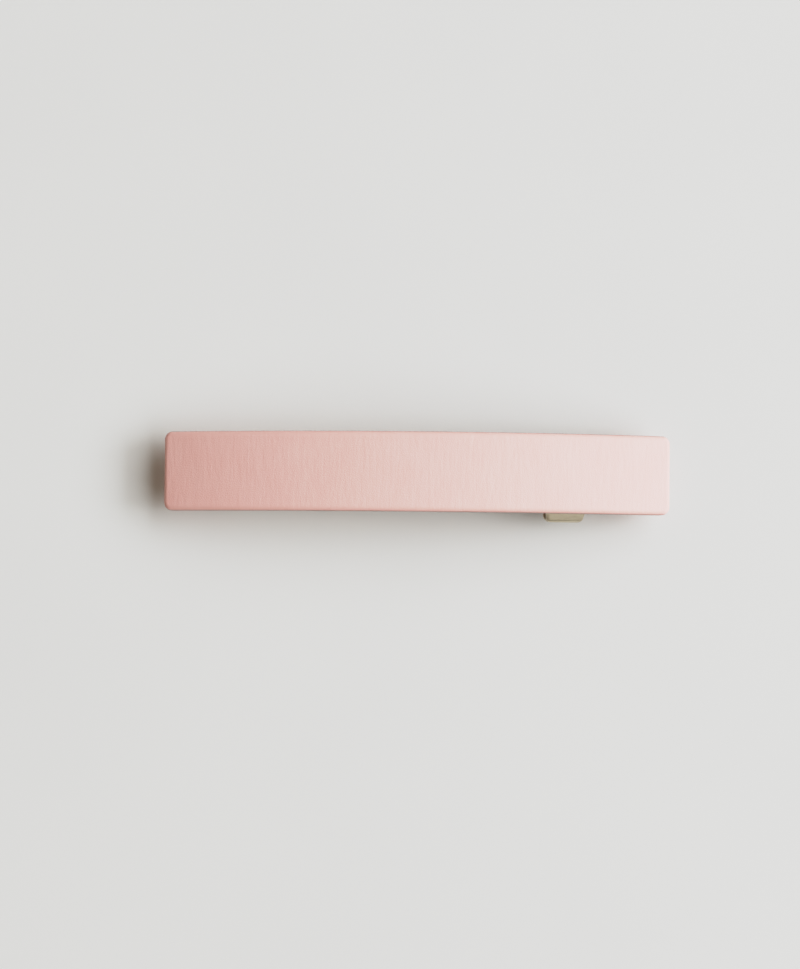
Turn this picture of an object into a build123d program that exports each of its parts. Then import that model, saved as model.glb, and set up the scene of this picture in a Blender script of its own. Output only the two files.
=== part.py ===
from build123d import *

import os
from math import cos, degrees, radians, sin, sqrt

# Bar hair clip: a bent leather strip on a sprung metal clip, lying on a flat surface with the clip closed.
# X runs along the strip, +Y points away from the front edge, Z is up from the surface. Millimetres.
os.makedirs("parts", exist_ok=True)

# Leather strip
STRIP_LENGTH = 83.0  # along its top face
STRIP_WIDTH = 12.7
STRIP_THICKNESS = 2.6
STRIP_CORNER = 1.3
STRIP_TOP_ROUND = 0.8
STRIP_UNDER_ROUND = 0.3

# Base plate, bent to an arch
PLATE_LENGTH = 70.0  # along its underside
PLATE_WIDTH = 7.5
PLATE_THICKNESS = 0.7
PLATE_BEND = 115.0  # radius of its underside
PLATE_HEIGHT = 9.6  # from the surface to its underside, at the middle
PLATE_CORNER = 2.4
PLATE_EDGE_ROUND = 0.12
PLATE_SET_BACK = 0.8  # the clip is glued on this far in front of the strip's middle line
SEWING_HOLE_RADIUS = 0.75
SEWING_HOLE_INSET = 2.0  # from the plate's end

# Hinge: two lugs bent down from the plate, and a pin
LUG_INSET = 5.5  # from the plate's end to the lugs' middle
LUG_RADIUS = 2.0  # its round end stands on the surface
LUG_THICKNESS = 0.7
PIN_RADIUS = 0.6
PIN_HEAD_RADIUS = 1.0
PIN_HEAD_HEIGHT = 0.35
PIN_HEAD_ROUND = 0.2

# Catch: a spring-steel strip folded into two squeeze tabs and two hooked prongs
CATCH_INSET = 10.8  # from the plate's end to the catch's middle
CATCH_LENGTH = 6.4
CATCH_SHEET = 0.5
CATCH_BEND = 0.55  # radius of its folds, at the middle of the sheet
TAB_REACH = 6.8  # from the plate's middle line to the folded edge
TAB_CORNER = 1.1
WING_ROOT = 2.9  # where the wing leaves the plate, from the middle line
WING_DROP = 1.75  # from the web down to the tab's upper leaf
TAB_GAP = 0.95  # between the middles of the tab's two leaves, at the folded edge
TAB_SLOPE = 0.45  # further drop of the lower leaf on its way to the prong
PRONG_LENGTH = 5.0
PRONG_REACH = 2.2  # from the middle line to the prong's outer face
PRONG_CORNER = 0.8
HOOK_REACH = 0.45  # past the prong's outer face
HOOK_LAND = 0.2
HOOK_HEIGHT = 0.8

# Arm that closes over the hair
ARM_THICKNESS = 0.7
ARM_SLOPE = 4.0  # degrees, where it leaves the pin
ARM_BEND = 9.0  # radius of the bend before the paddle
KNUCKLE_TURN = 278.0  # degrees that the arm curls round the pin
PADDLE_BACK = 6.5  # from the middle of the window to the bend
PADDLE_FRONT = 4.7  # from the middle of the window to the tip
PADDLE_RAIL = 1.6  # beside the window
PADDLE_END = 1.8  # behind the window
PADDLE_CORNER = 1.6
PADDLE_THROAT = 0.5
WINDOW_CORNER = 0.5

# Leaf that presses the hair against the arm
LEAF_PAD = 4.4  # length that lies against the plate
LEAF_WIDTH = 4.2
LEAF_THICKNESS = 0.35
LEAF_BOW = 0.45  # how far it bows up between its pad and its tip
LEAF_BEND = 6.0
LEAF_END_ROUND = 1.2

# Rivets
RIVET_RADIUS = 0.6
RIVET_HEAD_RADIUS = 1.1
RIVET_HEAD_HEIGHT = 0.45
CATCH_RIVET_SPACING = 3.4

# Clearances
FIT_GAP = 0.02  # between pieces that are fixed together
PIN_CLEARANCE = 0.05  # between the pin and the curl that turns on it
KNUCKLE_SIDE_GAP = 0.25
WINDOW_SIDE_GAP = 0.15
WINDOW_END_GAP = 0.4
HOOK_GAP = 0.12  # between the hooks and the arm above them
LEAF_TIP_GAP = 0.05
LEAF_LUG_GAP = 0.7
LEAF_CATCH_GAP = 1.4

# Places worked out from the sizes
arch_centre = PLATE_HEIGHT - PLATE_BEND
strip_under_radius = PLATE_BEND + PLATE_THICKNESS + FIT_GAP
strip_top_radius = strip_under_radius + STRIP_THICKNESS
strip_turn = degrees(STRIP_LENGTH / 2 / strip_top_radius)
strip_y = (TAB_REACH + PLATE_SET_BACK - STRIP_WIDTH / 2) / 2
clip_y = strip_y - PLATE_SET_BACK

lug_position = PLATE_LENGTH / 2 - LUG_INSET
lug_turn = lug_position / PLATE_BEND
pin_depth = (PLATE_BEND * cos(lug_turn) + arch_centre - LUG_RADIUS) / cos(lug_turn)

catch_position = PLATE_LENGTH / 2 - CATCH_INSET
catch_turn = catch_position / PLATE_BEND
catch_height = PLATE_BEND * cos(catch_turn) + arch_centre
prong_low_corner = (PRONG_LENGTH / 2 - PRONG_CORNER) * sin(catch_turn) + PRONG_CORNER
prong_drop = PRONG_CORNER + (catch_height - prong_low_corner) / cos(catch_turn)
paddle_depth = prong_drop - HOOK_HEIGHT - HOOK_GAP - ARM_THICKNESS / 2

arm_width = PLATE_WIDTH - 2 * (LUG_THICKNESS + KNUCKLE_SIDE_GAP)
window_length = PRONG_LENGTH + 2 * WINDOW_END_GAP
window_width = 2 * (PRONG_REACH + WINDOW_SIDE_GAP)
paddle_width = window_width + 2 * PADDLE_RAIL
paddle_rear = window_length / 2 + PADDLE_END

catch_seat = FIT_GAP + PLATE_BEND - sqrt(PLATE_BEND**2 - (CATCH_LENGTH / 2) ** 2)
catch_rivets = [catch_position - CATCH_RIVET_SPACING / 2, catch_position + CATCH_RIVET_SPACING / 2]

leaf_start = lug_position - LUG_RADIUS - LEAF_LUG_GAP
leaf_tip = catch_position - CATCH_LENGTH / 2 - LEAF_CATCH_GAP
leaf_rivet_place = LEAF_PAD / 2 - leaf_start


def front_plane(y):
    """Upright plane seen from the front: its x is X and its y is Z."""
    return Plane(origin=(0, y, 0), x_dir=(1, 0, 0), z_dir=(0, -1, 0))


def side_at(along, depth=0.0):
    """Upright plane on the clip's middle line: its x runs along the plate, its y up through it."""
    turn = along / PLATE_BEND
    reach = PLATE_BEND - depth
    return Plane(
        origin=(reach * sin(turn), clip_y, arch_centre + reach * cos(turn)),
        x_dir=(cos(turn), 0, -sin(turn)),
        z_dir=(0, -1, 0),
    )


def flat_at(along, depth=0.0):
    """Plane that lies along the plate: its x runs along the plate, its y across it."""
    side = side_at(along, depth)
    return Plane(origin=side.origin, x_dir=side.x_dir, z_dir=side.y_dir)


def across_at(along, depth=0.0):
    """Plane square to the plate's length: its x runs across the plate, its y up through it."""
    side = side_at(along, depth)
    return Plane(origin=side.origin, x_dir=(0, 1, 0), z_dir=side.x_dir)


def front_point(along, depth, ahead=0.0):
    """(X, Z) of a point under the plate, and ahead of there by a length square to that depth."""
    side = side_at(along, depth)
    point = side.origin + side.x_dir * ahead
    return (point.X, point.Z)


def bent_outline(under_radius, thickness, half_turn):
    """Lines round a strip that follows the arch, half_turn degrees to each side, seen from the front."""
    centre = (0, arch_centre)
    under = CenterArc(centre, under_radius, 90 - half_turn, 2 * half_turn)
    over = CenterArc(centre, under_radius + thickness, 90 - half_turn, 2 * half_turn)
    Line(under @ 0, over @ 0)
    Line(under @ 1, over @ 1)


def end_corners(strip):
    """The four short edges through a bent strip's thickness, at its ends."""
    straight = strip.edges().filter_by(GeomType.LINE)
    return straight.filter_by(Axis.Y, reverse=True)


def rivet(label, along, grip):
    """Rivet through the plate and grip millimetres of sheet under it, with its round head below."""
    with BuildPart() as one_rivet:
        with BuildSketch(side_at(along)):
            with BuildLine():
                seat = -grip - FIT_GAP
                crown = (0, seat - RIVET_HEAD_HEIGHT)
                rim = (RIVET_HEAD_RADIUS, seat)
                flush = (RIVET_RADIUS, PLATE_THICKNESS)
                Polyline(crown, (0, PLATE_THICKNESS), flush, (RIVET_RADIUS, seat), rim)
                TangentArc(crown, rim, tangent=(1, 0))
            make_face()
        axis_plane = side_at(along)
        revolve(axis=Axis(axis_plane.origin, axis_plane.y_dir))
    one_rivet.part.label = label
    return one_rivet.part


# Leather strip
with BuildPart() as leather_bar:
    with BuildSketch(front_plane(strip_y)):
        with BuildLine():
            bent_outline(strip_under_radius, STRIP_THICKNESS, strip_turn)
        make_face()
    extrude(amount=STRIP_WIDTH / 2, both=True)
    fillet(end_corners(leather_bar), STRIP_CORNER)
    top_face = leather_bar.faces().filter_by(GeomType.CYLINDER).sort_by(SortBy.AREA)[-1]
    fillet(top_face.edges(), STRIP_TOP_ROUND)
    under_face = leather_bar.faces().filter_by(GeomType.CYLINDER).sort_by(SortBy.AREA)[-1]
    fillet(under_face.edges(), STRIP_UNDER_ROUND)
leather_bar.part.label = "leather_bar"

# Base plate with its lugs
with BuildPart() as base_plate:
    with BuildSketch(front_plane(clip_y)):
        with BuildLine():
            bent_outline(PLATE_BEND, PLATE_THICKNESS, degrees(PLATE_LENGTH / 2 / PLATE_BEND))
        make_face()
    extrude(amount=PLATE_WIDTH / 2, both=True)
    fillet(end_corners(base_plate), PLATE_CORNER)
    bent_faces = base_plate.faces().filter_by(GeomType.CYLINDER).sort_by(SortBy.AREA)[-2:]
    fillet(bent_faces.edges(), PLATE_EDGE_ROUND)
    for side in (-1, 1):
        with BuildSketch(side_at(-lug_position).offset(side * (PLATE_WIDTH - LUG_THICKNESS) / 2)):
            with Locations((0, -pin_depth)):
                Circle(LUG_RADIUS)
            with Locations((0, (PLATE_THICKNESS / 2 - pin_depth) / 2)):
                Rectangle(2 * LUG_RADIUS, PLATE_THICKNESS / 2 + pin_depth)
            with Locations((0, -pin_depth)):
                Circle(PIN_RADIUS + FIT_GAP, mode=Mode.SUBTRACT)
        extrude(amount=LUG_THICKNESS / 2, both=True)
    sewing_place = PLATE_LENGTH / 2 - SEWING_HOLE_INSET
    for place in (-sewing_place, sewing_place):
        with BuildSketch(flat_at(place)):
            Circle(SEWING_HOLE_RADIUS)
        extrude(amount=2 * PLATE_THICKNESS, both=True, mode=Mode.SUBTRACT)
    for place in catch_rivets + [leaf_rivet_place]:
        with BuildSketch(flat_at(place)):
            Circle(RIVET_RADIUS + FIT_GAP)
        extrude(amount=2 * PLATE_THICKNESS, both=True, mode=Mode.SUBTRACT)
base_plate.part.label = "base_plate"

# Hinge pin
with BuildPart() as hinge_pin:
    with BuildSketch(side_at(-lug_position, pin_depth)):
        Circle(PIN_RADIUS)
    extrude(amount=PLATE_WIDTH / 2 + FIT_GAP + PIN_HEAD_HEIGHT / 2, both=True)
    for side in (-1, 1):
        head_middle = side * (PLATE_WIDTH / 2 + FIT_GAP + PIN_HEAD_HEIGHT / 2)
        with BuildSketch(side_at(-lug_position, pin_depth).offset(head_middle)):
            Circle(PIN_HEAD_RADIUS)
        extrude(amount=PIN_HEAD_HEIGHT / 2, both=True)
    head_rims = hinge_pin.edges().filter_by(GeomType.CIRCLE).sort_by(Axis.Y)
    fillet([head_rims[0], head_rims[-1]], PIN_HEAD_ROUND)
hinge_pin.part.label = "hinge_pin"

# Arm: a strip curled round the pin, with a paddle and a window at its free end
with BuildPart() as arm:
    with BuildSketch(front_plane(clip_y)):
        with BuildLine() as arm_line:
            pin_centre = front_point(-lug_position, pin_depth)
            curl_radius = PIN_RADIUS + PIN_CLEARANCE + ARM_THICKNESS / 2
            curl = CenterArc(pin_centre, curl_radius, ARM_SLOPE - 90, -KNUCKLE_TURN)
            paddle_start = front_point(catch_position, paddle_depth, -PADDLE_BACK)
            paddle_tip = front_point(catch_position, paddle_depth, PADDLE_FRONT)
            slope = (cos(radians(ARM_SLOPE)), sin(radians(ARM_SLOPE)))
            TangentArc(curl @ 0, paddle_start, tangent=slope)
            Line(paddle_start, paddle_tip)
            fillet(arm_line.vertices().sort_by_distance((*paddle_start, 0))[0], ARM_BEND)
        trace(line_width=ARM_THICKNESS)
    extrude(amount=arm_width / 2, both=True)
    with BuildSketch(flat_at(catch_position, paddle_depth)) as paddle:
        with Locations((-(paddle_rear + PADDLE_THROAT) / 2, 0)):
            Rectangle(paddle_rear + PADDLE_THROAT, arm_width)
        with Locations(((PADDLE_FRONT - paddle_rear) / 2, 0)):
            Rectangle(PADDLE_FRONT + paddle_rear, paddle_width)
        fillet(paddle.vertices().group_by(Axis.X)[1], PADDLE_THROAT)
        fillet(paddle.vertices().group_by(Axis.X)[-1], PADDLE_CORNER)
    extrude(amount=ARM_THICKNESS / 2, both=True)
    with BuildSketch(flat_at(catch_position, paddle_depth)):
        RectangleRounded(window_length, window_width, WINDOW_CORNER)
    extrude(amount=ARM_THICKNESS, both=True, mode=Mode.SUBTRACT)
arm.part.label = "arm"

# Leaf: a pad riveted to the plate, and a flatter bow whose tip bears on the plate
with BuildPart() as tension_leaf:
    with BuildSketch(front_plane(clip_y)):
        with BuildLine() as leaf_line:
            pad_depth = FIT_GAP + LEAF_THICKNESS / 2
            pad_start = 90 + degrees(leaf_start / PLATE_BEND)
            pad_turn = -degrees(LEAF_PAD / PLATE_BEND)
            pad = CenterArc((0, arch_centre), PLATE_BEND - pad_depth, pad_start, pad_turn)
            tip_point = front_point(leaf_tip, LEAF_TIP_GAP + LEAF_THICKNESS / 2)
            SagittaArc(pad @ 1, tip_point, LEAF_BOW)
            fillet(leaf_line.vertices().sort_by_distance(pad @ 1)[0], LEAF_BEND)
        trace(line_width=LEAF_THICKNESS)
    extrude(amount=LEAF_WIDTH / 2, both=True)
    fillet(end_corners(tension_leaf), LEAF_END_ROUND)
    with BuildSketch(flat_at(leaf_rivet_place)):
        Circle(RIVET_RADIUS + FIT_GAP)
    extrude(amount=2 * LEAF_THICKNESS, both=True, mode=Mode.SUBTRACT)
tension_leaf.part.label = "tension_leaf"

# Catch: web under the plate, wings folded back under themselves as tabs, prongs with outward hooks
with BuildPart() as catch:
    with BuildSketch(across_at(catch_position)):
        with BuildLine():
            web = -catch_seat - CATCH_SHEET / 2
            fold = TAB_REACH - CATCH_SHEET / 2
            prong_middle = PRONG_REACH - CATCH_SHEET / 2
            lower_leaf = web - WING_DROP - TAB_GAP
            half_section = [
                (WING_ROOT, web),
                (fold, web - WING_DROP),
                (fold, lower_leaf),
                (prong_middle, lower_leaf - TAB_SLOPE),
                (prong_middle, -prong_drop),
            ]
            other_half = [(-across, up) for across, up in reversed(half_section)]
            FilletPolyline(*other_half, *half_section, radius=CATCH_BEND)
        trace(line_width=CATCH_SHEET)
        for side in (-1, 1):
            with BuildLine():
                land_top = HOOK_HEIGHT - prong_drop
                Polyline(
                    (side * prong_middle, land_top),
                    (side * (PRONG_REACH + HOOK_REACH), land_top),
                    (side * (PRONG_REACH + HOOK_REACH), land_top - HOOK_LAND),
                    (side * PRONG_REACH, -prong_drop),
                    (side * prong_middle, -prong_drop),
                    close=True,
                )
            make_face()
    extrude(amount=CATCH_LENGTH / 2, both=True)
    with BuildSketch(side_at(catch_position)):
        prong_top = lower_leaf - TAB_SLOPE - CATCH_SHEET
        with Locations((0, prong_top / 2)):
            Rectangle(CATCH_LENGTH, -prong_top)
        with Locations((0, -prong_drop / 2)):
            RectangleRounded(PRONG_LENGTH, prong_drop, PRONG_CORNER)
    extrude(amount=2 * TAB_REACH, both=True, mode=Mode.INTERSECT)
    with BuildSketch(flat_at(catch_position)):
        RectangleRounded(CATCH_LENGTH, 2 * TAB_REACH, TAB_CORNER)
    extrude(amount=2 * prong_drop, both=True, mode=Mode.INTERSECT)
    for place in catch_rivets:
        with BuildSketch(flat_at(place)):
            Circle(RIVET_RADIUS + FIT_GAP)
        extrude(amount=-web - lower_leaf, both=True, mode=Mode.SUBTRACT)
catch.part.label = "catch"

# Rivets
catch_grip = catch_seat + CATCH_SHEET
rivets = [rivet("leaf_rivet", leaf_rivet_place, FIT_GAP + LEAF_THICKNESS)]
for number, place in enumerate(catch_rivets, start=1):
    rivets.append(rivet(f"catch_rivet_{number}", place, catch_grip))

finished = [block.part for block in (leather_bar, base_plate, hinge_pin, arm, tension_leaf, catch)]
for piece in finished + rivets:
    export_step(piece, f"parts/{piece.label}.step")
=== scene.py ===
"""Looks of a bar hair clip: a bent leather strip on a sprung clip of plated steel, lying closed.

Lengths are metres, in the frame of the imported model: X along the strip, +Y away from its front
edge, Z up from the surface that it lies on. Finishes reckon in millimetres.
"""

import logging
import math
from dataclasses import dataclass
from enum import Enum
from typing import Mapping, Optional, Sequence, Union

import bmesh
import bpy
from mathutils import Matrix, Vector

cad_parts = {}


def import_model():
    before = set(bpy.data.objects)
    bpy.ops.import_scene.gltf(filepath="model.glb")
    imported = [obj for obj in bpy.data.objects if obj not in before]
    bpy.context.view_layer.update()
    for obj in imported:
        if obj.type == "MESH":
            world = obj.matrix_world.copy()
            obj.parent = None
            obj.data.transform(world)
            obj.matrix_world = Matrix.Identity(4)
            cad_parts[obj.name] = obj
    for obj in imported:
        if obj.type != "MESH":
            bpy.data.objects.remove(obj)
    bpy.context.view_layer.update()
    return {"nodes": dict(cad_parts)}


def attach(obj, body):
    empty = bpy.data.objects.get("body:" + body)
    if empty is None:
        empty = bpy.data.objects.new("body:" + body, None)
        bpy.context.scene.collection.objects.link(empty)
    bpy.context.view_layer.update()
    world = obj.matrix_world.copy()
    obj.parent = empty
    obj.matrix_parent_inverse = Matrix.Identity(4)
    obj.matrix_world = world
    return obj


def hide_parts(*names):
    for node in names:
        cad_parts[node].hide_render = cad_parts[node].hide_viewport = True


LOG = logging.getLogger("bar_hair_clip")
MM = 0.001
TINY = 1e-9  # keeps a division from meeting zero
ARC_STEP = 6.0  # degrees that a rounded corner turns by from point to point

Colour = tuple[float, float, float, float]
Triple = tuple[float, float, float]
Range = tuple[float, float]
Feed = Union["Value", float, int, bool, str, Triple, Colour, bpy.types.ID]
Inputs = Mapping[Union[str, int], Feed]


class Slot(Enum):
    """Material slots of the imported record."""

    LEATHER = "leather"
    STEEL = "plated_steel"


class Body(Enum):
    """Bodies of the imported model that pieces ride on."""

    BAR = "bar"
    ARM = "arm"


class BrushWay(Enum):
    """Ways that the plated steel was brushed: how long its lines are along X, Y and Z, in millimetres."""

    ALONG = (9.0, 0.06, 0.06)
    ACROSS = (0.06, 9.0, 0.06)
    NONE = (0.25, 0.25, 0.25)


# Node trees


class Value:
    """A node's output that can be reckoned with, which adds the nodes that it takes."""

    def __init__(self, wiring: "Wiring", socket: bpy.types.NodeSocket) -> None:
        """Takes an output of the wiring's tree."""
        self.wiring, self.socket = wiring, socket

    def __add__(self, other: Feed) -> "Value":
        """The sum of both."""
        return self.wiring.reckon("ADD", self, other)

    def __sub__(self, other: Feed) -> "Value":
        """This less the other."""
        return self.wiring.reckon("SUBTRACT", self, other)

    def __rsub__(self, other: Feed) -> "Value":
        """The other less this."""
        return self.wiring.reckon("SUBTRACT", other, self)

    def __mul__(self, other: Feed) -> "Value":
        """The product of both; a number scales a vector."""
        return self.wiring.reckon("MULTIPLY", self, other)

    def __truediv__(self, other: Feed) -> "Value":
        """This divided by the other."""
        return self.wiring.reckon("DIVIDE", self, other)

    def __rtruediv__(self, other: Feed) -> "Value":
        """The other divided by this."""
        return self.wiring.reckon("DIVIDE", other, self)

    def __neg__(self) -> "Value":
        """This turned round."""
        return self * -1.0


def is_vector(value: Feed) -> bool:
    """Whether a value has more parts than one."""
    return value.socket.type in ("VECTOR", "RGBA") if isinstance(value, Value) else isinstance(value, tuple)


class Wiring:
    """Adds nodes to one tree and joins them."""

    def __init__(self, tree: bpy.types.NodeTree) -> None:
        """Starts on a shader or geometry tree."""
        self.tree = tree

    def fill(self, node: bpy.types.Node, inputs: Inputs) -> None:
        """Gives a node's inputs links or fixed values.

        Args:
            node: the node.
            inputs: what goes into its inputs, by name or number.
        """
        for key, value in inputs.items():
            if isinstance(value, Value):
                self.tree.links.new(value.socket, node.inputs[key])
            else:
                node.inputs[key].default_value = value

    def node(self, kind: str, inputs: Optional[Inputs] = None, **settings: object) -> bpy.types.Node:
        """Adds a node.

        Args:
            kind: the node's type name.
            inputs: what goes into its inputs, by name or number.
            **settings: the node's own properties.

        Returns:
            The new node.
        """
        node = self.tree.nodes.new(kind)
        for name, value in settings.items():
            setattr(node, name, value)
        self.fill(node, inputs or {})
        return node

    def value(self, kind: str, inputs: Optional[Inputs] = None, **settings: object) -> Value:
        """The first output of a new node."""
        return Value(self, self.node(kind, inputs, **settings).outputs[0])

    def values(self, kind: str, inputs: Optional[Inputs] = None, **settings: object) -> dict[str, Value]:
        """The outputs of a new node, by name."""
        outputs = self.node(kind, inputs, **settings).outputs
        return {socket.name: Value(self, socket) for socket in outputs if socket.enabled}

    def use(self, group: bpy.types.NodeTree, inputs: Inputs) -> dict[str, Value]:
        """Places a group of the tree's own kind and gives its outputs, by name."""
        return self.values(self.tree.bl_idname.replace("Tree", "Group"), inputs, node_tree=group)

    def math(self, operation: str, *values: Feed, clamp: bool = False) -> Value:
        """The result of a Math node, kept between 0 and 1 if it is clamped."""
        return self.value("ShaderNodeMath", dict(enumerate(values)), operation=operation, use_clamp=clamp)

    def vector(self, operation: str, *values: Feed) -> Value:
        """The result of a Vector Math node that gives a vector."""
        return self.value("ShaderNodeVectorMath", dict(enumerate(values)), operation=operation)

    def reckon(self, operation: str, a: Feed, b: Feed) -> Value:
        """Reckons with two numbers or two vectors, or scales a vector by a number.

        Args:
            operation: the operation of the Math or Vector Math node.
            a: the first number or vector.
            b: the second one.

        Returns:
            The result.
        """
        numbers = [value for value in (a, b) if not is_vector(value)]
        if len(numbers) == 2:
            return self.math(operation, a, b)
        if not numbers:
            return self.vector(operation, a, b)
        scaled = a if is_vector(a) else b
        return self.value("ShaderNodeVectorMath", {0: scaled, "Scale": numbers[0]}, operation="SCALE")

    def split(self, vector: Value) -> tuple[Value, ...]:
        """The three numbers of a vector."""
        return tuple(self.values("ShaderNodeSeparateXYZ", {0: vector}).values())

    def join(self, x: Feed, y: Feed, z: Feed) -> Value:
        """A vector of three numbers."""
        return self.value("ShaderNodeCombineXYZ", {0: x, 1: y, 2: z})

    def ramp(self, value: Value, low: Feed, high: Feed, start: float = 0.0, end: float = 1.0) -> Value:
        """A smooth step that goes from start, where the value is low, to end, where it is high."""
        inputs = {0: value, 1: low, 2: high, 3: start, 4: end}
        return self.value("ShaderNodeMapRange", inputs, interpolation_type="SMOOTHSTEP")

    def blend(self, share: Feed, a: Feed, b: Feed) -> Value:
        """Two colours mixed: a, with a share of b."""
        return Value(self, self.node("ShaderNodeMix", {0: share, 6: a, 7: b}, data_type="RGBA").outputs[2])

    def lerp(self, share: Feed, a: Feed, b: Feed) -> Value:
        """Two numbers mixed: a, with a share of b."""
        return self.value("ShaderNodeMix", {0: share, 2: a, 3: b}, data_type="FLOAT")

    def noise(self, place: Value, scale: Feed, detail: Feed, seed: Feed) -> Value:
        """A noise's value from 0 to 1, with finer layers by its detail."""
        inputs = {"Vector": place, "W": seed, "Scale": scale, "Detail": detail}
        return self.value("ShaderNodeTexNoise", inputs, noise_dimensions="4D")


class Group(Wiring):
    """A node group with named inputs and outputs."""

    TYPES = {bool: "Bool", int: "Int", float: "Float", tuple: "Vector"}

    def __init__(self, name: str, kind: str, inputs: Mapping[str, object], outputs: Sequence[str]) -> None:
        """Makes the group.

        Args:
            name: its name.
            kind: Shader or Geometry.
            inputs: the default by input name, or the socket's type where there is no default.
            outputs: their names. A shader group puts out numbers.
        """
        super().__init__(bpy.data.node_groups.new(name, f"{kind}NodeTree"))
        add = self.tree.interface.new_socket
        for label, default in inputs.items():
            socket_type = self.TYPES.get(type(default), default)
            item = add(name=label, in_out="INPUT", socket_type=f"NodeSocket{socket_type}")
            if socket_type != default:
                item.default_value = default
        for label in outputs:
            put_out = "Float" if kind == "Shader" else kind
            add(name=label, in_out="OUTPUT", socket_type=f"NodeSocket{put_out}")
        self.given = self.node("NodeGroupInput").outputs
        self.end = self.node("NodeGroupOutput")

    def __getitem__(self, name: str) -> Value:
        """One of the group's inputs."""
        return Value(self, self.given[name])

    def give(self, **outputs: Value) -> bpy.types.NodeTree:
        """Puts out values by name and gives the group's tree."""
        self.fill(self.end, outputs)
        return self.tree

    def give_mesh(self, mesh: Value) -> bpy.types.NodeTree:
        """Puts out one real mesh in the group's Finish.

        Args:
            mesh: the mesh or its instances.

        Returns:
            The group's tree.
        """
        real = self.value("GeometryNodeRealizeInstances", {0: mesh})
        dressed = self.value("GeometryNodeSetMaterial", {0: real, "Material": self["Finish"]})
        self.fill(self.end, {0: dressed})
        return self.tree

    def shared(self, *names: str) -> dict[str, Value]:
        """Inputs that go on to a group inside this one."""
        return {name: self[name] for name in names}

    def moved(self, mesh: Value, **how: Value) -> Value:
        """A mesh whose points go to a Position or by an Offset."""
        return self.value("GeometryNodeSetPosition", {0: mesh, **how})

    def curve(self, line: Value) -> Value:
        """The curve along a mesh's edges."""
        return self.value("GeometryNodeMeshToCurve", {0: line})

    def stored(self, name: str, kind: str) -> Value:
        """A stored attribute of a kind."""
        return self.value("GeometryNodeInputNamedAttribute", {"Name": name}, data_type=kind)

    def pick(self, index: Value, choices: Sequence[Feed]) -> Value:
        """Picks one of several numbers.

        Args:
            index: which one, counted from 0.
            choices: the numbers.

        Returns:
            The picked number.
        """
        node = self.node("GeometryNodeIndexSwitch", data_type="FLOAT")
        while len(node.index_switch_items) < len(choices):
            node.index_switch_items.new()
        self.fill(node, {"Index": index, **{str(number): choice for number, choice in enumerate(choices)}})
        return Value(self, node.outputs[0])


def linked(name: str, data: bpy.types.ID) -> bpy.types.Object:
    """Makes an object in the scene.

    Args:
        name: its name.
        data: its mesh, light or camera.

    Returns:
        The object, at the origin.
    """
    obj = bpy.data.objects.new(name, data)
    bpy.context.scene.collection.objects.link(obj)
    return obj


def line_object(name: str, points: Sequence[Vector] = ()) -> bpy.types.Object:
    """Makes an object for a tree to start from or follow.

    Args:
        name: its name.
        points: the points of the line that it holds, in order.

    Returns:
        The object.
    """
    mesh = bpy.data.meshes.new(name)
    mesh.from_pydata(points, [(i, i + 1) for i in range(len(points) - 1)], [])
    return linked(name, mesh)


def evaluated(obj: bpy.types.Object) -> bpy.types.Mesh:
    """A new mesh with what the object's modifiers do to it."""
    graph = bpy.context.evaluated_depsgraph_get()
    return bpy.data.meshes.new_from_object(obj.evaluated_get(graph), depsgraph=graph)


def sizes_of(piece: object) -> dict[str, object]:
    """A piece's fields, named as the trees name their inputs."""
    return {name.replace("_", " ").title(): size for name, size in vars(piece).items()}


def grow(host: bpy.types.Object, tree: bpy.types.NodeTree, sizes: Mapping[str, object]) -> bpy.types.Object:
    """Runs a geometry tree on an object and leaves the result as a plain mesh.

    Args:
        host: the object that the tree starts from.
        tree: the geometry tree.
        sizes: its inputs by name; those that it doesn't have are passed over.

    Returns:
        The host, with the tree's mesh and no modifier.
    """
    modifier = host.modifiers.new(tree.name, "NODES")
    modifier.node_group = tree
    for item in tree.interface.items_tree:
        if item.item_type == "SOCKET" and item.in_out == "INPUT" and item.name in sizes:
            modifier[item.identifier] = sizes[item.name]
    made = evaluated(host)
    made.name = host.name
    host.modifiers.remove(modifier)
    spent, host.data = host.data, made
    bpy.data.meshes.remove(spent)
    return host


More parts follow.
